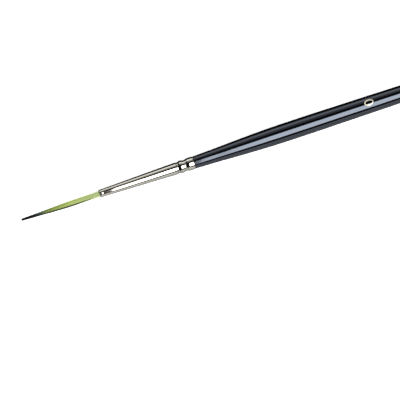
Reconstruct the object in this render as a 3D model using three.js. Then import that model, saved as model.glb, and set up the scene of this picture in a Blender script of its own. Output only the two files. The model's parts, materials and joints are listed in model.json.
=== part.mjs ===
// Fine detail brush, size 0 liner, lying on a table on the belly of its handle.
// Millimetres, +Z up, tuft towards -X. The origin is on the table, under the middle of the
// brush. Inside the brush group the axis is x: x = 0 is the ferrule's mouth and the tail is +x.

import * as THREE from 'three';

// ---- driving dimensions ----

const SIDES = 24;                  // facets round the handle, the ferrule and what is in it
const HAIR_SIDES = 20;
const FIT_GAP = 0.02;              // between pieces that are nested in one another

const FERRULE_LENGTH = 29.65;
const FERRULE_WALL = 0.25;
const MOUTH_RADIUS = 1.16;
const LIP_ROUNDING = 0.12;

// Outside of the double crimp as [x, radius]: groove, bead, groove, collar.
const CRIMP_LINE = [
  [24.1, 1.83],
  [24.6, 1.63],
  [25.6, 1.95],
  [25.85, 1.95],
  [26.95, 1.69],
  [28.1, 1.98],
  [FERRULE_LENGTH, 1.98],
];
const STEPS_PER_CRIMP = 3;

const TENON_START = 18.5;
const GLUE_THICKNESS = 0.06;
const GLUE_SETBACK = 0.35;         // of the film's ends from the tenon's end and the rear rim
const SHOULDER_GAP = 0.05;         // between the ferrule's rear rim and the handle's shoulder

// Outside of the wooden handle as [x, radius]: it swells from its shoulder to the belly, which
// is cylindrical for a short way, and then tapers to the tail.
const HANDLE_FRONT = [
  [FERRULE_LENGTH + SHOULDER_GAP, 1.86],
  [32.5, 1.97],
  [37, 2.13],
  [43.4, 2.41],
  [48.8, 2.62],
  [53.6, 2.755],
  [58.6, 2.81],
];
const HANDLE_REAR = [
  [69, 2.81],
  [76, 2.745],
  [94, 2.61],
  [120, 2.22],
  [145, 1.7],
  [163.6, 1.27],
];
const TAIL_END = 165.2;
const TAIL_FLAT_RADIUS = 0.6;
const TAIL_STEPS = 4;

// Outside of the free tuft as [distance from the mouth, radius].
const TUFT_LINE = [
  [0, 0.79],
  [4.3, 0.9],
  [8.8, 0.915],
  [14.2, 0.735],
  [17.9, 0.52],
  [21.7, 0.4],
  [24.1, 0.29],
];
const TUFT_LENGTH = 24.8;
const BEND_POINTS = [3.1, 9.3, 15.5, 21.7];   // distance from the mouth
const BEND_GAP = 0.1;              // between two sections of the tuft, on the axis
const DOME_HEIGHT = 0.35;          // of a section's end, as a share of its radius
const DOME_STEPS = 3;
const SECTION_RINGS = 4;

const ROOT_END = 12.6;             // how far the hair reaches into the ferrule
const ROOT_RADIUS = 0.7;
const THREAD_DIAMETER = 0.14;
const THREAD_PITCH = 0.18;
const THREAD_TURNS = 5;
const THREAD_START = 10;
const PLUG_START = 8;
const PLUG_SOCKET_END = 13;
const PLUG_END = 14;
const PLUG_FRONT_GAP = 0.09;       // round the hair, in front of the binding

const MARK_X = 85.2;               // middle of the size mark
const MARK_ANGLE = 0.226;          // round the handle from its top, towards +Y
const MARK_HEIGHT = 2.85;
const MARK_WIDTH = 1.85;
const MARK_STROKE = 0.3;
const FOIL_THICKNESS = 0.03;
const FOIL_LIFT = 0.01;

// ---- lines ----

// Radius at x of a line of [x, radius] points.
function radiusAt(line, x) {
  const next = Math.max(1, line.findIndex(([end]) => end >= x));
  const [[x0, r0], [x1, r1]] = [line[next - 1], line[next]];
  return r0 + (r1 - r0) * (x - x0) / (x1 - x0);
}

// The same line with points added along a smooth curve.
function smoothLine(line, stepsPerPoint) {
  const curve = new THREE.SplineCurve(line.map(([x, radius]) => new THREE.Vector2(x, radius)));
  return curve.getPoints((line.length - 1) * stepsPerPoint).map(({ x, y }) => [x, y]);
}

const handleLine = [...smoothLine(HANDLE_FRONT, 2), ...smoothLine(HANDLE_REAR, 2)];
const tuftLine = smoothLine(TUFT_LINE, 6);

// Stations along the crimps, and the ferrule's outside there: each crimp eases into the next.
const crimpLine = CRIMP_LINE.slice(1).flatMap(([x1, r1], i) => {
  const [x0, r0] = CRIMP_LINE[i];
  return Array.from({ length: STEPS_PER_CRIMP }, (_, step) => {
    const share = (step + 1) / STEPS_PER_CRIMP;
    return [x0 + (x1 - x0) * share, r0 + (r1 - r0) * (1 - Math.cos(Math.PI * share)) / 2];
  });
});
const ferruleOutside = [[0, MOUTH_RADIUS], CRIMP_LINE[0], ...crimpLine];

// The ferrule's line between two stations, set in from its outside.
function ferruleLine(inset, from, to) {
  const between = ferruleOutside.filter(([x]) => x > from && x < to).map(([x]) => x);
  return [from, ...between, to].map((x) => [x, radiusAt(ferruleOutside, x) - inset]);
}

// ---- shapes ----

// Solid of revolution about the x axis. Its outline of [x, radius] points runs towards +x on
// the outside and back on the inside. One facet faces straight down.
function turned(outline, sides) {
  const geometry = new THREE.LatheGeometry(outline.map(([x, r]) => new THREE.Vector2(r, x)), sides);
  return geometry.rotateZ(-Math.PI / 2).rotateX(Math.PI / sides);
}

// Rounded end, from its tip on the axis to its rim.
function dome(tipX, rimX, rimRadius) {
  return Array.from({ length: DOME_STEPS }, (_, step) => {
    const turn = step / DOME_STEPS * Math.PI / 2;
    return [tipX + (rimX - tipX) * (1 - Math.cos(turn)), rimRadius * Math.sin(turn)];
  });
}

class Helix extends THREE.Curve {
  constructor(radius, pitch, turns) {
    super();
    Object.assign(this, { radius, pitch, turns });
  }

  getPoint(share, target = new THREE.Vector3()) {
    const angle = share * this.turns * 2 * Math.PI;
    const x = share * this.turns * this.pitch;
    return target.set(x, this.radius * Math.cos(angle), this.radius * Math.sin(angle));
  }
}

// ---- pieces ----

// Seamless tube drawn to a cone, crimped twice on to the handle's tenon.
function ferruleGeometry() {
  const outside = ferruleLine(0, LIP_ROUNDING, FERRULE_LENGTH - LIP_ROUNDING);
  const bore = ferruleLine(FERRULE_WALL, 0, FERRULE_LENGTH).reverse();
  const mouthLip = [0, MOUTH_RADIUS - LIP_ROUNDING];
  const rearLip = [FERRULE_LENGTH, outside.at(-1)[1] - LIP_ROUNDING];
  return turned([mouthLip, ...outside, rearLip, ...bore, mouthLip], SIDES);
}

// Film of glue between the ferrule and the tenon.
function handleGlueGeometry() {
  const [from, to] = [TENON_START + GLUE_SETBACK, FERRULE_LENGTH - GLUE_SETBACK];
  const outside = ferruleLine(FERRULE_WALL + FIT_GAP, from, to);
  const inside = ferruleLine(FERRULE_WALL + FIT_GAP + GLUE_THICKNESS, from, to).reverse();
  return turned([...outside, ...inside, outside[0]], SIDES);
}

// Turned wood: the tenon inside the ferrule, the shoulder, the belly and the long tail.
function handleGeometry() {
  const inset = FERRULE_WALL + GLUE_THICKNESS + 2 * FIT_GAP;
  const tenon = ferruleLine(inset, TENON_START, FERRULE_LENGTH);
  const tenonFoot = [HANDLE_FRONT[0][0], tenon.at(-1)[1]];
  const [tailX, tailRadius] = HANDLE_REAR.at(-1);
  const tail = Array.from({ length: TAIL_STEPS }, (_, step) => {
    const turn = (step + 1) / TAIL_STEPS * Math.PI / 2;
    const radius = TAIL_FLAT_RADIUS + (tailRadius - TAIL_FLAT_RADIUS) * Math.cos(turn);
    return [tailX + (TAIL_END - tailX) * Math.sin(turn), radius];
  });
  return turned([[TENON_START, 0], ...tenon, tenonFoot, ...handleLine, ...tail, [TAIL_END, 0]], SIDES);
}

// Epoxy cast in the ferrule round the hair's bound roots.
function rootPlugGeometry() {
  const outside = ferruleLine(FERRULE_WALL + FIT_GAP, PLUG_START, PLUG_END);
  const rootWall = ROOT_RADIUS + FIT_GAP;
  const bindingWall = ROOT_RADIUS + THREAD_DIAMETER + 3 * FIT_GAP;
  const bindingStart = THREAD_START - THREAD_DIAMETER;
  const bindingEnd = THREAD_START + THREAD_TURNS * THREAD_PITCH + THREAD_DIAMETER;
  const socket = [
    [PLUG_SOCKET_END, 0],
    [PLUG_SOCKET_END, rootWall],
    [bindingEnd, rootWall],
    [bindingEnd, bindingWall],
    [bindingStart, bindingWall],
    [bindingStart, ROOT_RADIUS + PLUG_FRONT_GAP],
    [PLUG_START, ROOT_RADIUS + PLUG_FRONT_GAP],
  ];
  return turned([...socket, ...outside, [PLUG_END, 0]], SIDES);
}

// Waxed thread wound round the roots.
function bindingThreadGeometry() {
  const coil = new Helix(ROOT_RADIUS + FIT_GAP + THREAD_DIAMETER / 2, THREAD_PITCH, THREAD_TURNS);
  const section = new THREE.Shape().absarc(0, 0, THREAD_DIAMETER / 2, 0, 2 * Math.PI);
  const steps = 14 * THREAD_TURNS;
  const geometry = new THREE.ExtrudeGeometry(section, { steps, extrudePath: coil, curveSegments: 3 });
  return geometry.translate(THREAD_START, 0, 0);
}

// One rigid section of the tuft between two bend points, with domed ends that clear its
// neighbours when they turn.
function tuftSectionGeometry(from, to) {
  const [rear, front] = [from + BEND_GAP / 2, to - BEND_GAP / 2];
  const [rearRim, frontRim] = [[rear, 1], [front, -1]].map(([tip, way]) => {
    const radius = radiusAt(tuftLine, tip);
    return [tip + way * DOME_HEIGHT * radius, radius];
  });
  return hairSolid(rearRim[0], frontRim, front, dome(-rear, -rearRim[0], rearRim[1]).reverse());
}

// The tuft's fine end, coming to its point.
function tuftTipGeometry(from) {
  const rear = from + BEND_GAP / 2;
  const radius = radiusAt(tuftLine, rear);
  const rearRim = rear + DOME_HEIGHT * radius;
  return hairSolid(rearRim, TUFT_LINE.at(-1), TUFT_LENGTH, dome(-rear, -rearRim, radius).reverse());
}

// The part of the hair that does not move: from its bound roots to the first bend point.
function hairBaseGeometry(to) {
  const front = to - BEND_GAP / 2;
  const radius = radiusAt(tuftLine, front);
  const root = [[THREAD_START - THREAD_DIAMETER, ROOT_RADIUS], [ROOT_END, ROOT_RADIUS], [ROOT_END, 0]];
  return hairSolid(0, [front - DOME_HEIGHT * radius, radius], front, root);
}

// Hair from its front tip back to a rear distance along the tuft's line, then a given rear end.
function hairSolid(rear, [frontRimX, frontRimRadius], frontTip, rearEnd) {
  const body = Array.from({ length: SECTION_RINGS + 1 }, (_, ring) => {
    const distance = frontRimX + (rear - frontRimX) * ring / SECTION_RINGS;
    return [-distance, radiusAt(tuftLine, distance)];
  });
  return turned([...dome(-frontTip, -frontRimX, frontRimRadius), ...body, ...rearEnd], HAIR_SIDES);
}

// Thin foil figure 0, wrapped on to the handle with its height along the axis.
function sizeMarkGeometry() {
  const oval = (inset) => [0, 0, MARK_HEIGHT / 2 - inset, MARK_WIDTH / 2 - inset, 0, 2 * Math.PI];
  const figure = new THREE.Shape().absellipse(...oval(0));
  figure.holes.push(new THREE.Path().absellipse(...oval(MARK_STROKE)));
  const settings = { depth: FOIL_THICKNESS, bevelEnabled: false, curveSegments: 20 };
  const geometry = new THREE.ExtrudeGeometry(figure, settings);
  const place = geometry.getAttribute('position');
  for (let i = 0; i < place.count; i += 1) {
    const x = MARK_X + place.getX(i);
    const surface = radiusAt(handleLine, x);
    const angle = MARK_ANGLE + place.getY(i) / surface;
    const radius = surface + FOIL_LIFT + place.getZ(i);
    place.setXYZ(i, x, radius * Math.sin(angle), radius * Math.cos(angle));
  }
  return geometry;
}

// ---- the brush ----

const brush = new THREE.Group();

function addPiece(name, geometry, color, roughness, metalness) {
  const mesh = new THREE.Mesh(geometry, new THREE.MeshStandardMaterial({ color, roughness, metalness }));
  mesh.name = name;
  brush.add(mesh);
}

const [bend1, bend2, bend3, bend4] = BEND_POINTS;
addPiece('handle', handleGeometry(), 0x0c1222, 0.12, 0);
addPiece('size_mark', sizeMarkGeometry(), 0xd8c58a, 0.35, 1);
addPiece('ferrule', ferruleGeometry(), 0xd9d8d2, 0.12, 1);
addPiece('handle_glue', handleGlueGeometry(), 0xd9cda6, 0.5, 0);
addPiece('root_plug', rootPlugGeometry(), 0xb98a3c, 0.3, 0);
addPiece('binding_thread', bindingThreadGeometry(), 0xe6dfcf, 0.8, 0);
addPiece('hair_base', hairBaseGeometry(bend1), 0xc8d78c, 0.45, 0);
addPiece('hair_lower', tuftSectionGeometry(bend1, bend2), 0xb9c97e, 0.45, 0);
addPiece('hair_middle', tuftSectionGeometry(bend2, bend3), 0x738260, 0.45, 0);
addPiece('hair_upper', tuftSectionGeometry(bend3, bend4), 0x2a302b, 0.45, 0);
addPiece('hair_tip', tuftTipGeometry(bend4), 0x08080a, 0.45, 0);

// Centred along its length, with the belly on the table.
const bounds = new THREE.Box3().setFromObject(brush, true);
const middle = bounds.getCenter(new THREE.Vector3());
brush.position.set(-middle.x, -middle.y, -bounds.min.z);

export default brush;
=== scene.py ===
import json
import math

import bpy
from mathutils import Matrix, Vector


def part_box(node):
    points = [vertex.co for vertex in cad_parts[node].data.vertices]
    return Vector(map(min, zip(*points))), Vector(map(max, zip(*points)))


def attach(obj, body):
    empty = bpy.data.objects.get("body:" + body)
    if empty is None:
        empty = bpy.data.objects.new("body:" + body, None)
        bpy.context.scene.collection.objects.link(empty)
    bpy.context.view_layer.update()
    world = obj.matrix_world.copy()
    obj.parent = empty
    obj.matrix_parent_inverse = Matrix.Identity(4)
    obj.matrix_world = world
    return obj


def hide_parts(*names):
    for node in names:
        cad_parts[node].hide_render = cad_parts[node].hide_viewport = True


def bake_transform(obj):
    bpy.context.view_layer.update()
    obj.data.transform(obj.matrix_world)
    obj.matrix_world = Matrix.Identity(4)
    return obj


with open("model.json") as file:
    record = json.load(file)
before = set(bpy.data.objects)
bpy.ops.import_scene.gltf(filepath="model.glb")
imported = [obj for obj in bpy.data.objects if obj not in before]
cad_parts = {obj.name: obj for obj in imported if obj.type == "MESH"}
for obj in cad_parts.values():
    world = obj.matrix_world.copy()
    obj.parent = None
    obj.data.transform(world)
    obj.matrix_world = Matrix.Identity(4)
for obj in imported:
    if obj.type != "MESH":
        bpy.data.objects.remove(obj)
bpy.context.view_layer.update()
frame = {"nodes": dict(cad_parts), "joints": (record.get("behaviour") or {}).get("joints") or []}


# ---- The filaments of the tuft ----------------------------------------------------------------
# Two hundred and thirty tapered synthetic filaments, dyed yellow-green with black points, laid
# side by side with their fine ends together. Inside the ferrule they lie tight and straight. Past
# its mouth they swell to a slight belly and draw in to one point.

MM = 0.001
FILAMENT_COUNT = 230
FILAMENT_RADIUS = 0.047 * MM
FILAMENT_SIDES = 6
FILAMENT_STEP = 1.0 * MM
FILAMENT_WANDER = 0.07 * MM
SHORTEST_FILAMENT = 23.5 * MM
LENGTH_SKEW = 1.6                   # above 1, most filaments are nearly as long as the longest
THINNEST = 0.9                      # shares of a filament's radius
THICKEST = 1.12
SPREAD_JITTER = 0.035               # of the bundle's radius
TURN_JITTER = 0.06                  # in radians
BUNDLE_RADIUS = 0.87 * MM
BUNDLE_SET = 0.1 * MM               # how far the bundle has set to one side, towards -Y
TURN_PER_FILAMENT = math.pi * (3 - math.sqrt(5))

# Shares of the largest value, by distance in mm from the ferrule's mouth towards the point.
BUNDLE_LINE = [(-12.6, 0.75), (-9.6, 0.75), (0.0, 0.97), (4.3, 1.0), (8.8, 1.0), (14.2, 0.81),
               (17.9, 0.62), (21.7, 0.49), (24.1, 0.37), (24.8, 0.29)]
TAPER_LINE = [(-12.6, 0.85), (0.0, 0.95), (9.0, 1.0), (16.0, 0.92), (21.0, 0.82), (24.8, 0.6)]
FREEDOM_LINE = [(-12.6, 0.1), (0.0, 0.2), (6.0, 1.0), (18.0, 1.0), (24.8, 0.4)]
SET_LINE = [(-12.6, 0.0), (0.0, 0.0), (6.0, 0.4), (13.0, 1.0), (20.0, 0.8), (24.8, 0.6)]

DYE_STOPS = [(0.0, (0.6, 0.71, 0.36)), (0.14, (0.58, 0.7, 0.3)), (0.38, (0.55, 0.67, 0.21)),
             (0.52, (0.42, 0.54, 0.14)), (0.65, (0.26, 0.35, 0.08)), (0.72, (0.16, 0.21, 0.09)),
             (0.77, (0.04, 0.07, 0.06)), (0.83, (0.008, 0.015, 0.016)), (0.88, (0.0025, 0.003, 0.003)),
             (1.0, (0.001, 0.001, 0.0012))]
# Painted shade: the colour of a dark streak along one side of the tuft, and the angle of that side.
PAINTED_SHADE_COLOUR = (0.02, 0.024, 0.02)
PAINTED_SHADE_SIDE = math.radians(148)      # round the bundle from +Y over the top
SHEEN_OF_DYE = [(0.0, (0.55, 0.56, 0.5)), (0.5, (0.95, 0.95, 0.9)), (1.0, (1.3, 1.25, 1.2))]


class Value:
    """A node's output that takes part in Python arithmetic."""

    def __init__(self, tree, socket):
        self.tree = tree
        self.socket = socket

    def math(self, operation, *values):
        return self.tree.node("ShaderNodeMath", {"operation": operation}, dict(enumerate(values)))

    def __add__(self, other):
        return self.math("ADD", self, other)

    def __sub__(self, other):
        return self.math("SUBTRACT", self, other)

    def __rsub__(self, other):
        return self.math("SUBTRACT", other, self)

    def __mul__(self, other):
        return self.math("MULTIPLY", self, other)

    def __truediv__(self, other):
        return self.math("DIVIDE", self, other)

    def __pow__(self, other):
        return self.math("POWER", self, other)

    __radd__ = __add__
    __rmul__ = __mul__

    def least(self, other):
        return self.math("MINIMUM", self, other)

    def cosine(self):
        return self.math("COSINE", self)

    def sine(self):
        return self.math("SINE", self)

    def clipped(self):
        return self.tree.node("ShaderNodeClamp", {}, {"Value": self})

    def sibling(self, name):
        return Value(self.tree, self.socket.node.outputs[name])


class Tree:
    """A node tree being built."""

    def __init__(self, tree):
        self.tree = tree

    def node(self, kind, settings, sockets, output=0):
        """A new node's output: settings go first, then a value or a link for each socket."""
        made = self.tree.nodes.new(kind)
        for name, value in settings.items():
            if name == "stops":
                while len(made.color_ramp.elements) < len(value):
                    made.color_ramp.elements.new(1.0)
                for element, (position, colour) in zip(made.color_ramp.elements, value):
                    element.position = position
                    element.color = (*colour, 1)
            elif name == "points":
                curve = made.mapping.curves[0]
                while len(curve.points) < len(value):
                    curve.points.new(0.5, 0.5)
                for point, place in zip(curve.points, value):
                    point.location = place
                made.mapping.update()
            else:
                setattr(made, name, value)
        for name, value in sockets.items():
            if isinstance(value, Value):
                self.tree.links.new(value.socket, made.inputs[name])
            elif name in (6, 7, "Base Color", "Specular Tint"):
                made.inputs[name].default_value = (*value, 1)
            else:
                made.inputs[name].default_value = value
        return Value(self, made.outputs[output]) if made.outputs else None


class Finish(Tree):
    """A material being built round one Principled shader."""

    def __init__(self, name):
        self.material = bpy.data.materials.new(name)
        self.material.use_nodes = True
        self.material.node_tree.nodes.clear()
        super().__init__(self.material.node_tree)

    def place(self, scale=(1, 1, 1), centre=(0, 0, 0)):
        coordinates = self.node("ShaderNodeTexCoord", {}, {}, "Object")
        shift = tuple(-c * s for c, s in zip(centre, scale))
        sockets = {"Vector": coordinates, "Location": shift, "Scale": scale}
        return self.node("ShaderNodeMapping", {}, sockets)

    def noise(self, vector, detail=2.0, roughness=0.5):
        sockets = {"Vector": vector, "Scale": 1.0, "Detail": detail, "Roughness": roughness}
        return self.node("ShaderNodeTexNoise", {}, sockets, "Fac")

    def mix(self, share, one, other, blend="MIX"):
        settings = {"data_type": "RGBA", "blend_type": blend}
        return self.node("ShaderNodeMix", settings, {0: share, 6: one, 7: other}, 2)

    def ramp(self, factor, stops):
        return self.node("ShaderNodeValToRGB", {"stops": stops}, {"Fac": factor}, "Color")

    def bump(self, height, distance):
        return self.node("ShaderNodeBump", {}, {"Height": height, "Distance": distance})

    def surface(self, **sockets):
        """Ends the material, and gives it back."""
        named = {name.replace("_", " "): value for name, value in sockets.items()}
        shader = self.node("ShaderNodeBsdfPrincipled", {}, named)
        self.node("ShaderNodeOutputMaterial", {}, {"Surface": shader})
        return self.material


def dyed_filament():
    finish = Finish("dyed_filament")
    reach = finish.node("ShaderNodeAttribute", {"attribute_name": "reach"}, {}, "Fac")
    tone = finish.node("ShaderNodeAttribute", {"attribute_name": "tone"}, {}, "Fac")
    soot = finish.node("ShaderNodeAttribute", {"attribute_name": "soot"}, {}, "Fac")
    dye = finish.ramp((reach + 1.6 * (tone - 0.5)) / (TUFT_REACH / MM), DYE_STOPS)
    colour = finish.mix(1.0, dye, finish.ramp(tone, SHEEN_OF_DYE), "MULTIPLY")
    # Painted shade: the marked outer filaments darken from about a millimetre past the mouth.
    colour = finish.mix((soot * (reach / 5 - 0.2)).clipped(), colour, PAINTED_SHADE_COLOUR)
    grain = finish.noise(finish.place((400, 4000, 4000)))
    return finish.surface(Base_Color=colour, Roughness=0.34 + 0.16 * grain, IOR=1.53,
                          Specular_IOR_Level=0.18, Normal=finish.bump(grain, 0.004 * MM))


def filaments(material):
    """The tree that lays the filaments between two distances from the mouth."""
    group = bpy.data.node_groups.new("filaments", "GeometryNodeTree")
    tree = Tree(group)
    group.interface.new_socket("Geometry", in_out="OUTPUT", socket_type="NodeSocketGeometry")
    for name, kind in [("Count", "Int"), ("Rings", "Int"), ("Sides", "Int"), ("Seed", "Int"),
                       ("From", "Float"), ("To", "Float")]:
        group.interface.new_socket(name, in_out="INPUT", socket_type="NodeSocket" + kind)
    given = tree.node("NodeGroupInput", {}, {})

    def along(line, distance):
        """A share read off a line of (distance in mm, share)."""
        first = line[0][0]
        span = line[-1][0] - first
        points = [((x - first) / span, share) for x, share in line]
        place = (distance / MM - first) / span
        return tree.node("ShaderNodeFloatCurve", {"points": points}, {"Value": place})

    line = tree.node("GeometryNodeCurvePrimitiveLine", {}, {"Start": (0, 0, 0), "End": (MM, 0, 0)})
    line = tree.node("GeometryNodeResampleCurve", {}, {"Curve": line, "Count": given.sibling("Rings")})
    strands = tree.node("GeometryNodeDuplicateElements", {"domain": "SPLINE"},
                        {"Geometry": line, "Amount": given.sibling("Count")})
    number = strands.sibling("Duplicate Index")

    def chance(offset, low=0.0, high=1.0):
        """A random number for each filament."""
        sockets = {2: low, 3: high, "ID": number, "Seed": given.sibling("Seed") + offset}
        return tree.node("FunctionNodeRandomValue", {"data_type": "FLOAT"}, sockets, 1)

    length = TUFT_REACH - (TUFT_REACH - SHORTEST_FILAMENT) * chance(1) ** LENGTH_SKEW
    start = given.sibling("From")
    end = length.least(given.sibling("To"))
    distance = start + tree.node("GeometryNodeSplineParameter", {}, {}) * (end - start)

    spread = ((number + 0.5) / given.sibling("Count")) ** 0.5
    spread = (spread + chance(2, -SPREAD_JITTER, SPREAD_JITTER)).least(1.0)
    radius = BUNDLE_RADIUS * along(BUNDLE_LINE, distance) * spread
    angle = number * TURN_PER_FILAMENT + chance(3, -TURN_JITTER, TURN_JITTER)
    track = tree.node("ShaderNodeCombineXYZ", {}, {0: number * 7.31, 1: distance * 190, 2: 0.0})
    track = tree.node("ShaderNodeTexNoise", {}, {"Vector": track, "Scale": 1.0, "Detail": 1.0}, "Color")
    stray = tree.node("ShaderNodeSeparateXYZ", {}, {0: track}, "Y")
    wander = FILAMENT_WANDER * along(FREEDOM_LINE, distance)
    aside = BUNDLE_SET * along(SET_LINE, distance)
    y = radius * angle.cosine() + wander * (stray - 0.5) - aside
    z = radius * angle.sine() + wander * (stray.sibling("Z") - 0.5) + axis_height
    place = tree.node("ShaderNodeCombineXYZ", {}, {0: mouth - distance, 1: y, 2: z})
    strands = tree.node("GeometryNodeSetPosition", {}, {"Geometry": strands, "Position": place})
    # Painted shade: the outermost filaments on one side of the bundle are marked to be darkened, a dark
    # streak along that edge of the tuft.
    soot = ((angle - PAINTED_SHADE_SIDE).cosine() * 12 - 10.6).clipped() * (spread * 5 - 3.7).clipped()
    lock = tree.node("ShaderNodeCombineXYZ", {}, {0: angle.cosine(), 1: angle.sine(), 2: distance * 45})
    lock = tree.node("ShaderNodeTexNoise", {}, {"Vector": lock, "Scale": 2.2, "Detail": 1.0})
    tone = (0.4 * chance(4) + 1.6 * lock - 0.5).clipped()
    for name, value in [("reach", distance / MM), ("tone", tone), ("soot", soot)]:
        sockets = {"Geometry": strands, "Name": name, "Value": value}
        strands = tree.node("GeometryNodeStoreNamedAttribute", {"domain": "POINT"}, sockets)

    section = tree.node("GeometryNodeCurvePrimitiveCircle", {},
                        {"Resolution": given.sibling("Sides"), "Radius": 1.0})
    thickness = FILAMENT_RADIUS * chance(5, THINNEST, THICKEST) * along(TAPER_LINE, distance)
    solid = tree.node("GeometryNodeCurveToMesh", {}, {"Curve": strands, "Profile Curve": section,
                                                      "Scale": thickness, "Fill Caps": True})
    solid = tree.node("GeometryNodeSetShadeSmooth", {}, {"Geometry": solid})
    solid = tree.node("GeometryNodeRealizeInstances", {}, {"Geometry": solid})
    solid = tree.node("GeometryNodeSetMaterial", {}, {"Geometry": solid, "Material": material})
    tree.node("NodeGroupOutput", {}, {0: solid})
    return group


def made_by(group, name, **sizes):
    """The plain mesh that a Geometry Nodes tree makes at these sizes."""
    base = bpy.data.objects.new(name + "_base", bpy.data.meshes.new(name + "_base"))
    bpy.context.scene.collection.objects.link(base)
    modifier = base.modifiers.new("made", "NODES")
    modifier.node_group = group
    for item in group.interface.items_tree:
        if item.name in sizes:
            modifier[item.identifier] = sizes[item.name]
    evaluated = base.evaluated_get(bpy.context.evaluated_depsgraph_get())
    mesh = bpy.data.meshes.new_from_object(evaluated)
    mesh.name = name
    bpy.data.objects.remove(base)
    piece = bpy.data.objects.new(name, mesh)
    bpy.context.scene.collection.objects.link(piece)
    return piece


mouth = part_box("ferrule")[0].x
axis_height = (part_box("ferrule")[0].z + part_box("ferrule")[1].z) / 2
ROOT_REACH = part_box("hair_base")[1].x - mouth
TUFT_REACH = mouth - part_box("hair_tip")[0].x - 0.25 * MM

bends = [joint for joint in frame["joints"] if joint["name"].startswith("tuft_bend")]
bend_reach = [mouth - joint["pos_m"][0] for joint in bends]
stretch_ends = [(one + next_one) / 2 for one, next_one in zip(bend_reach, bend_reach[1:])] + [TUFT_REACH]
stretch_names = ["tuft_at_mouth", "tuft_belly", "tuft_taper", "tuft_point"]
stretch_nodes = [["hair_base"], ["hair_lower"], ["hair_middle"], ["hair_upper", "hair_tip"]]
filament_tree = filaments(dyed_filament())
bend_start = 0.0
for name, nodes, bend, end in zip(stretch_names, stretch_nodes, bends, stretch_ends):
    first = -ROOT_REACH if bend_start == 0.0 else bend_start
    rings = round((end - first) / FILAMENT_STEP) + 1
    stretch = made_by(filament_tree, name, Count=FILAMENT_COUNT, Rings=rings, Seed=4,
                      Sides=FILAMENT_SIDES, From=first, To=end)
    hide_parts(*nodes)
    mouth - bend_start
    mouth - end
    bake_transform(stretch)
    bend_start = end


# ---- The binding thread -----------------------------------------------------------------------
# Waxed cotton thread wound five times round the roots, which holds the bundle together until it
# is glued. Its two ends are tucked under the turns.

THREAD_TURNS = 5
THREAD_RADIUS = 0.07 * MM
THREAD_STEPS_PER_TURN = 40
THREAD_SIDES = 8
TUCK_PARTS = 40                     # each end dips under over one part in this many of the thread


def waxed_thread():
    finish = Finish("waxed_thread")
    coordinates = finish.place((9000, 3000, 3000))
    twist = finish.node("ShaderNodeTexWave", {"bands_direction": "DIAGONAL"},
                        {"Vector": coordinates, "Scale": 0.6, "Distortion": 2.0}, "Fac")
    colour = finish.mix(twist, (0.5, 0.43, 0.3), (0.8, 0.74, 0.6))
    return finish.surface(Base_Color=colour, Roughness=0.55 + 0.2 * twist,
                          Normal=finish.bump(twist, 0.01 * MM))


def winding(material):
    """The tree that winds a thread round the brush's axis between two places."""
    group = bpy.data.node_groups.new("winding", "GeometryNodeTree")
    tree = Tree(group)
    group.interface.new_socket("Geometry", in_out="OUTPUT", socket_type="NodeSocketGeometry")
    for name, kind in [("Turns", "Int"), ("Points", "Int"), ("Sides", "Int"), ("Start", "Float"),
                       ("End", "Float"), ("Coil Radius", "Float"), ("Thread Radius", "Float")]:
        group.interface.new_socket(name, in_out="INPUT", socket_type="NodeSocket" + kind)
    given = tree.node("NodeGroupInput", {}, {})
    line = tree.node("GeometryNodeCurvePrimitiveLine", {}, {"Start": (0, 0, 0), "End": (MM, 0, 0)})
    line = tree.node("GeometryNodeResampleCurve", {}, {"Curve": line, "Count": given.sibling("Points")})
    share = tree.node("GeometryNodeSplineParameter", {}, {})
    angle = 2 * math.pi * given.sibling("Turns") * share
    tuck = (share * TUCK_PARTS).least(1.0) * ((1 - share) * TUCK_PARTS).least(1.0)
    radius = given.sibling("Coil Radius") - (1 - tuck) * given.sibling("Thread Radius")
    x = given.sibling("Start") + share * (given.sibling("End") - given.sibling("Start"))
    place = tree.node("ShaderNodeCombineXYZ", {}, {0: x, 1: radius * angle.cosine(),
                                                   2: radius * angle.sine() + axis_height})
    line = tree.node("GeometryNodeSetPosition", {}, {"Geometry": line, "Position": place})
    section = tree.node("GeometryNodeCurvePrimitiveCircle", {},
                        {"Resolution": given.sibling("Sides"), "Radius": 1.0})
    solid = tree.node("GeometryNodeCurveToMesh", {}, {"Curve": line, "Profile Curve": section,
                                                      "Scale": given.sibling("Thread Radius"),
                                                      "Fill Caps": True})
    solid = tree.node("GeometryNodeSetShadeSmooth", {}, {"Geometry": solid})
    solid = tree.node("GeometryNodeRealizeInstances", {}, {"Geometry": solid})
    solid = tree.node("GeometryNodeSetMaterial", {}, {"Geometry": solid, "Material": material})
    tree.node("NodeGroupOutput", {}, {0: solid})
    return group


thread_low, thread_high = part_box("binding_thread")
thread = made_by(winding(waxed_thread()), "thread_winding", Turns=THREAD_TURNS, Sides=THREAD_SIDES,
                 Points=THREAD_TURNS * THREAD_STEPS_PER_TURN + 1,
                 **{"Start": thread_low.x + THREAD_RADIUS, "End": thread_high.x - THREAD_RADIUS,
                    "Coil Radius": (thread_high.z - thread_low.z) / 2 - THREAD_RADIUS,
                    "Thread Radius": THREAD_RADIUS})
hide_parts("binding_thread")
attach(thread, "handle_and_ferrule")


# ---- The root plug ----------------------------------------------------------------------------
# Amber epoxy run in round the thread and the roots, which locks the tuft in the ferrule. It took
# its shape from the ferrule's bore, and a few small bubbles stayed in it.


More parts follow.
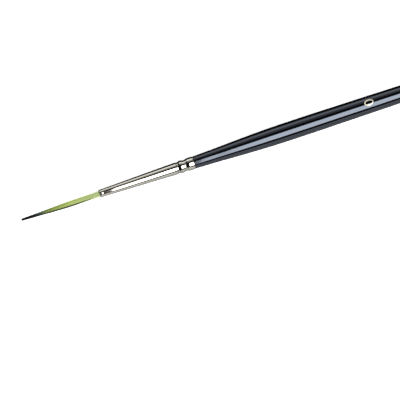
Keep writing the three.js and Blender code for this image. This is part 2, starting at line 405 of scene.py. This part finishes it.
def amber_epoxy():
    finish = Finish("amber_epoxy")
    cloud = finish.noise(finish.place((900, 900, 900)), detail=3.0)
    bubbles = finish.node("ShaderNodeTexVoronoi", {"feature": "SMOOTH_F1"},
                          {"Vector": finish.place((5000, 5000, 5000)), "Scale": 1.0}, "Distance")
    colour = finish.mix(cloud, (0.36, 0.17, 0.03), (0.62, 0.38, 0.1))
    return finish.surface(Base_Color=colour, Roughness=0.12 + 0.2 * cloud, IOR=1.55, Coat_Weight=0.4,
                          Normal=finish.bump(bubbles, 0.02 * MM))


frame["nodes"]["root_plug"].data.materials[0] = amber_epoxy()


# ---- The ferrule ------------------------------------------------------------------------------
# Seamless brass tube drawn to a cone and plated with bright nickel. Its mouth is rolled round. Two
# grooves, with a bead between them and a collar behind, were pressed in by jaws to grip the handle.

# The rolled mouth as (distance behind it in mm, radius in mm): necked in, with a faint swell.
MOUTH_LINE = [(0.0, 1.03), (0.05, 1.075), (0.15, 1.12), (0.32, 1.163), (0.55, 1.191), (0.8, 1.192),
              (1.1, 1.191), (1.5, 1.202)]
FERRULE_SIDES = 128
FERRULE_STEP = 0.12 * MM
CRIMP_JAWS = 8
JAW_DEPTH = 0.02                    # of the radius
CRIMP_START = 24.15 * MM            # from the mouth
NICKEL = (0.64, 0.625, 0.565)
NICKEL_WARM = (0.57, 0.545, 0.47)
# Painted reflection: a dark colour spotted into and near the two grooves stands for the dark
# surroundings mirrored in the crimps.
NICKEL_PAINTED_REFLECTION = (0.22, 0.205, 0.18)
PAINTED_REFLECTION_PLACES = (24.65, 27.15)     # in mm from the mouth, in or near the two grooves
PAINTED_REFLECTION_SHARPNESS = 1.6             # one over half the width in mm of a darkened stretch


def outline(node, pick):
    """(x, radius) of a turned CAD node from front to back: its outside for max, its bore for min."""
    stations = {}
    for corner in frame["nodes"][node].data.vertices:
        radius = math.hypot(corner.co.y, corner.co.z - axis_height)
        stations.setdefault(round(corner.co.x, 6), []).append(radius)
    return sorted((x, pick(radii)) for x, radii in stations.items())


def faired(stations, step):
    """Points on a smooth line through (x, radius) stations, which doesn't swing past any of them."""
    gaps = [math.dist(one, other) for one, other in zip(stations, stations[1:])]

    def slopes(axis):
        steep = [(b[axis] - a[axis]) / gap for a, b, gap in zip(stations, stations[1:], gaps)]
        inner = []
        for i in range(1, len(steep)):
            before, after = steep[i - 1], steep[i]
            if before * after <= 0:
                inner.append(0.0)
            else:
                one = 2 * gaps[i] + gaps[i - 1]
                other = gaps[i] + 2 * gaps[i - 1]
                inner.append((one + other) / (one / before + other / after))
        return [steep[0]] + inner + [steep[-1]]

    x_slopes = slopes(0)
    r_slopes = slopes(1)
    points = []
    for i, gap in enumerate(gaps):
        pieces = max(1, round(gap / step))
        for k in range(pieces):
            t = k / pieces
            weights = ((1 + 2 * t) * (1 - t) ** 2, t * (1 - t) ** 2 * gap, t * t * (3 - 2 * t),
                       t * t * (t - 1) * gap)
            point = []
            for axis, slope in ((0, x_slopes), (1, r_slopes)):
                terms = (stations[i][axis], slope[i], stations[i + 1][axis], slope[i + 1])
                point.append(sum(w * term for w, term in zip(weights, terms)))
            points.append(tuple(point))
    return points + [stations[-1]]


def turned(name, line, sides, materials, shape=None, loop=False, slots=None):
    """A closed body turned round the brush's axis. line is (x, radius) from front to back, and
    round again inside where it is a loop. shape(x, radius, angle) may change each radius."""
    corners = []
    rings = []
    for x, radius in line:
        if radius < 1e-9:
            rings.append([len(corners)] * sides)
            corners.append((x, 0, axis_height))
            continue
        rings.append(range(len(corners), len(corners) + sides))
        for j in range(sides):
            angle = 2 * math.pi * j / sides
            here = shape(x, radius, angle) if shape else radius
            corners.append((x, here * math.cos(angle), here * math.sin(angle) + axis_height))
    faces = []
    face_slots = []
    pairs = list(zip(rings, rings[1:]))
    if loop:
        pairs.append((rings[-1], rings[0]))
    for i, (ring, following) in enumerate(pairs):
        for j in range(sides):
            k = (j + 1) % sides
            face = [ring[j], ring[k], following[k], following[j]]
            faces.append([c for n, c in enumerate(face) if c not in face[:n]])
            face_slots.append(slots[i] if slots else 0)
    mesh = bpy.data.meshes.new(name)
    mesh.from_pydata(corners, [], faces)
    mesh.polygons.foreach_set("material_index", face_slots)
    mesh.polygons.foreach_set("use_smooth", [True] * len(faces))
    mesh.set_sharp_from_angle(angle=math.radians(35))
    for material in materials:
        mesh.materials.append(material)
    piece = bpy.data.objects.new(name, mesh)
    bpy.context.scene.collection.objects.link(piece)
    return piece


def bright_nickel():
    finish = Finish("bright_nickel")
    drawn = finish.noise(finish.place((60, 9000, 9000)), detail=3.0)
    cloud = finish.noise(finish.place((260, 700, 700)), detail=3.0)
    colour = finish.mix(cloud, NICKEL, NICKEL_WARM)
    x = finish.node("ShaderNodeSeparateXYZ", {}, {0: finish.place(centre=(mouth, 0, 0))}, "X")
    # Painted reflection: dark spotted patches in and near the two grooves.
    near_groove = [(x / MM - place) * PAINTED_REFLECTION_SHARPNESS for place in PAINTED_REFLECTION_PLACES]
    painted_reflection_band = [(1 - (near * near)).clipped() for near in near_groove]
    spots = (finish.noise(finish.place((2500, 2500, 2500)), detail=4.0) * 3 - 1.2).clipped()
    painted_reflection = 0.35 * (painted_reflection_band[0] + painted_reflection_band[1]) * spots
    colour = finish.mix(painted_reflection, colour, NICKEL_PAINTED_REFLECTION)
    height = drawn + 0.6 * finish.noise(finish.place((1500, 1500, 1500)))
    return finish.surface(Base_Color=colour, Metallic=1.0, Roughness=0.03 + 0.05 * drawn + 0.03 * cloud,
                          Normal=finish.bump(height, 0.0015 * MM))


def jaw_marks(x, radius, angle):
    reach = x - mouth
    if reach < CRIMP_START:
        return radius
    depth = (radius_at_crimp_start - radius) / radius_at_crimp_start
    grip = min(max(depth * 12, 0.0), 1.0)
    return radius * (1 - JAW_DEPTH * grip * (0.5 - 0.5 * math.cos(CRIMP_JAWS * angle + 0.6)))


ferrule_outside = outline("ferrule", max)
ferrule_bore = outline("ferrule", min)
back_end = ferrule_outside[-1][0]
cone_end = max(i for i, point in enumerate(ferrule_outside) if point[0] < mouth + CRIMP_START)
radius_at_crimp_start = ferrule_outside[cone_end][1]
mouth_line = [(mouth + x * MM, radius * MM) for x, radius in MOUTH_LINE]
outside = faired(mouth_line, FERRULE_STEP / 2) + faired(ferrule_outside[cone_end:], FERRULE_STEP)
bore = [point for point in ferrule_bore if not back_end - 0.1 * MM < point[0] < back_end - 0.01 * MM
        and not mouth < point[0] < mouth + 0.1 * MM]
bore = faired(bore, 4 * FERRULE_STEP)
ferrule = turned("ferrule_tube", outside + bore[::-1], FERRULE_SIDES, [bright_nickel()],
                 shape=jaw_marks, loop=True)
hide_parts("ferrule")
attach(ferrule, "handle_and_ferrule")


# ---- The glue film ----------------------------------------------------------------------------
# A thin film of wood glue between the tenon and the ferrule, pressed in with the crimps.


def dried_glue():
    finish = Finish("dried_glue")
    cloud = finish.noise(finish.place((1200, 1200, 1200)), detail=3.0)
    colour = finish.mix(cloud, (0.66, 0.55, 0.34), (0.82, 0.74, 0.55))
    return finish.surface(Base_Color=colour, Roughness=0.35 + 0.25 * cloud,
                          Normal=finish.bump(cloud, 0.01 * MM))


frame["nodes"]["handle_glue"].data.materials[0] = dried_glue()


# ---- The handle -------------------------------------------------------------------------------
# One turned birch stick with a tenon that fills the back of the ferrule. It swells to a belly and
# tapers to a small flat end. It was dipped in several coats of blue-black lacquer, sanded between
# them, so that the gloss is deep with a faint ripple, and the tenon inside stayed bare.

HANDLE_SIDES = 128
HANDLE_STEP = 0.9 * MM
LACQUER = (0.0008, 0.0012, 0.0018)
LACQUER_THIN = (0.0018, 0.002, 0.0024)
LACQUER_REFLECTION = (0.74, 0.83, 1.0)
BIRCH = (0.62, 0.43, 0.24)
BIRCH_GRAIN = (0.4, 0.24, 0.11)


def blue_black_lacquer():
    finish = Finish("blue_black_lacquer")
    ripple = finish.noise(finish.place((110, 420, 420)), detail=1.0)
    peel = finish.noise(finish.place((900, 1300, 1300)), detail=2.0)
    pores = finish.noise(finish.place((180, 5200, 5200)), detail=2.0)
    dust = (finish.noise(finish.place((3800, 3800, 3800)), detail=1.0) * 9 - 6.4).clipped()
    colour = finish.mix(finish.noise(finish.place((150, 600, 600)), detail=3.0), LACQUER, LACQUER_THIN)
    height = 1.0 * ripple + 0.14 * peel + 0.05 * pores + 0.1 * dust
    return finish.surface(Base_Color=colour, Roughness=0.05 + 0.05 * peel + 0.08 * dust, IOR=1.8,
                          Specular_Tint=LACQUER_REFLECTION, Normal=finish.bump(height, 0.012 * MM))


def bare_birch():
    finish = Finish("bare_birch")
    grain = finish.noise(finish.place((120, 3800, 3800)), detail=4.0)
    colour = finish.mix(grain, BIRCH_GRAIN, BIRCH)
    return finish.surface(Base_Color=colour, Roughness=0.6 + 0.2 * grain,
                          Normal=finish.bump(grain, 0.02 * MM))


handle_outside = outline("handle", max)
shoulder = max(i for i, point in enumerate(handle_outside) if point[0] < back_end + 0.06 * MM)
tenon = [(handle_outside[0][0], 0.0)] + handle_outside[:shoulder]
body = faired(handle_outside[shoulder:], HANDLE_STEP)
tail_end = handle_outside[-1][0]
tenon_foot = (handle_outside[shoulder][0], tenon[-1][1])
handle_line = tenon + [tenon_foot] + body + [(tail_end, 0.0)]
handle_slots = [1] * (len(tenon) + 1) + [0] * len(body)
handle = turned("handle_stick", handle_line, HANDLE_SIDES, [blue_black_lacquer(), bare_birch()],
                slots=handle_slots)
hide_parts("handle")
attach(handle, "handle_and_ferrule")


# ---- The size mark ----------------------------------------------------------------------------
# A zero hot-stamped in gold foil on the handle, wrapped round it and a hair thicker than the
# lacquer. The foil is slightly rubbed, with pinholes where it missed.


def stamped_gold():
    finish = Finish("stamped_gold")
    rub = finish.noise(finish.place((2600, 2600, 2600)), detail=4.0, roughness=0.65)
    missed = (rub * 6 - 4.3).clipped()
    colour = finish.mix(rub, (0.86, 0.78, 0.52), (0.97, 0.93, 0.74))
    colour = finish.mix(missed, colour, LACQUER_THIN)
    return finish.surface(Base_Color=colour, Metallic=0.5 - 0.4 * missed, Roughness=0.3 + 0.2 * rub,
                          Normal=finish.bump(rub, 0.006 * MM))


frame["nodes"]["size_mark"].data.materials[0] = stamped_gold()


# ---- The table, the light and the camera ------------------------------------------------------
# A white light table in a dim studio. One large softbox hangs over the brush with two faint ones
# past its end, and low cards stand on either side. The camera looks down through a long lens.

TABLE_SIZE = 6.0
TABLE_GLOW = 0.7
ROOM_GLOW = (0.75, 0.77, 0.8)
ROOM_DARK = (0.01, 0.01, 0.01)
ROOM_PALE = (1.0, 1.0, 1.0)
SOFTBOX_DISTANCE = 0.66
CARD_DISTANCE = 0.9


def white_table():
    finish = Finish("white_table")
    fleck = finish.noise(finish.place((40, 40, 40)), detail=3.0)
    colour = finish.mix(fleck, (0.84, 0.84, 0.84), (0.88, 0.88, 0.88))
    return finish.surface(Base_Color=colour, Roughness=0.6 + 0.1 * fleck, Emission_Color=(1, 1, 1, 1),
                          Emission_Strength=TABLE_GLOW)


half = TABLE_SIZE / 2
table_mesh = bpy.data.meshes.new("table")
table_mesh.from_pydata([(-half, -half, 0), (half, -half, 0), (half, half, 0), (-half, half, 0)], [],
                       [(0, 1, 2, 3)])
table_mesh.materials.append(white_table())
table = bpy.data.objects.new("table", table_mesh)
table.visible_glossy = False
bpy.context.scene.collection.objects.link(table)

world = bpy.data.worlds.new("studio")
world.use_nodes = True
world.node_tree.nodes.clear()
room = Tree(world.node_tree)
seen = room.node("ShaderNodeLightPath", {}, {}, "Is Camera Ray")
way = room.node("ShaderNodeTexCoord", {}, {}, "Generated")
way = room.node("ShaderNodeSeparateXYZ", {}, {0: way}, "Y")
glow = (way.sibling("Z") * -6).clipped() * (way * -1).clipped() ** 1.6
glow = room.node("ShaderNodeMix", {"data_type": "RGBA"}, {0: glow, 6: ROOM_DARK, 7: ROOM_GLOW}, 2)
glow = room.node("ShaderNodeMix", {"data_type": "RGBA"}, {0: seen, 6: glow, 7: ROOM_PALE}, 2)
glow = room.node("ShaderNodeBackground", {}, {"Color": glow})
room.node("ShaderNodeOutputWorld", {}, {"Surface": glow})
bpy.context.scene.world = world


def softbox(name, low_angle, high_angle, distance, start, end, radiance):
    """An area light between two places along the brush that fills these angles, seen from the
    brush, from overhead towards -Y."""
    middle = math.radians((low_angle + high_angle) / 2)
    width = 2 * distance * math.tan(math.radians(high_angle - low_angle) / 2)
    length = end - start
    centre = Vector(((start + end) / 2, 0, axis_height))
    lamp = bpy.data.lights.new(name, "AREA")
    lamp.shape = "RECTANGLE"
    lamp.size = length
    lamp.size_y = width
    lamp.energy = radiance * math.pi * length * width
    aim = Vector((0, -math.sin(middle), math.cos(middle)))
    across = Vector((1, 0, 0))
    light = bpy.data.objects.new(name, lamp)
    light.matrix_world = Matrix.Translation(centre + aim * distance) @ Matrix(
        (across, aim.cross(across), aim)).transposed().to_4x4()
    light.visible_camera = False
    bpy.context.scene.collection.objects.link(light)


softbox("softbox_overhead", -9, 40, SOFTBOX_DISTANCE, -0.018, 0.75, 6.3)
softbox("softbox_corner", -9, 12, SOFTBOX_DISTANCE, -0.03, -0.018, 0.45)
softbox("softbox_faint", -9, 12, SOFTBOX_DISTANCE, -0.2, -0.03, 0.25)
softbox("card_low_side", 66, 90, CARD_DISTANCE, -0.01, 0.9, 1.0)
softbox("card_low_corner", 57, 90, CARD_DISTANCE, -0.5, -0.01, 0.9)
softbox("card_high_side", -94, -63, CARD_DISTANCE, -0.5, 0.9, 1.2)
softbox("card_high_faint", -63, -40, CARD_DISTANCE, -0.5, 0.9, 0.35)

CAMERA_DISTANCE = 1.2
VIEW_WIDTH = 0.1194
SENSOR_WIDTH = 36
FOCUS_FROM_MOUTH = 0.02796          # the middle of the view, along the brush
FOCUS_ASIDE = -0.01117              # and towards +Y from its axis
BRUSH_TILT = math.radians(18.38)
LEAN = math.radians(6)
focus = Vector((mouth + FOCUS_FROM_MOUTH, FOCUS_ASIDE, axis_height))
back = Vector((-math.sin(LEAN), 0, math.cos(LEAN)))
along_brush = Vector((1, 0, 0)) - back.x * back
along_brush.normalize()
across_brush = back.cross(along_brush)
right = math.cos(BRUSH_TILT) * along_brush - math.sin(BRUSH_TILT) * across_brush
up = math.sin(BRUSH_TILT) * along_brush + math.cos(BRUSH_TILT) * across_brush
lens = bpy.data.cameras.new("camera")
lens.sensor_width = SENSOR_WIDTH
lens.lens = SENSOR_WIDTH * CAMERA_DISTANCE / VIEW_WIDTH
lens.clip_start = 0.01
lens.clip_end = 20
camera = bpy.data.objects.new("camera", lens)
camera.matrix_world = Matrix.Translation(focus + back * CAMERA_DISTANCE) @ Matrix(
    (right, up, back)).transposed().to_4x4()
bpy.context.scene.collection.objects.link(camera)
bpy.context.scene.camera = camera
bpy.context.scene.view_settings.view_transform = "Standard"
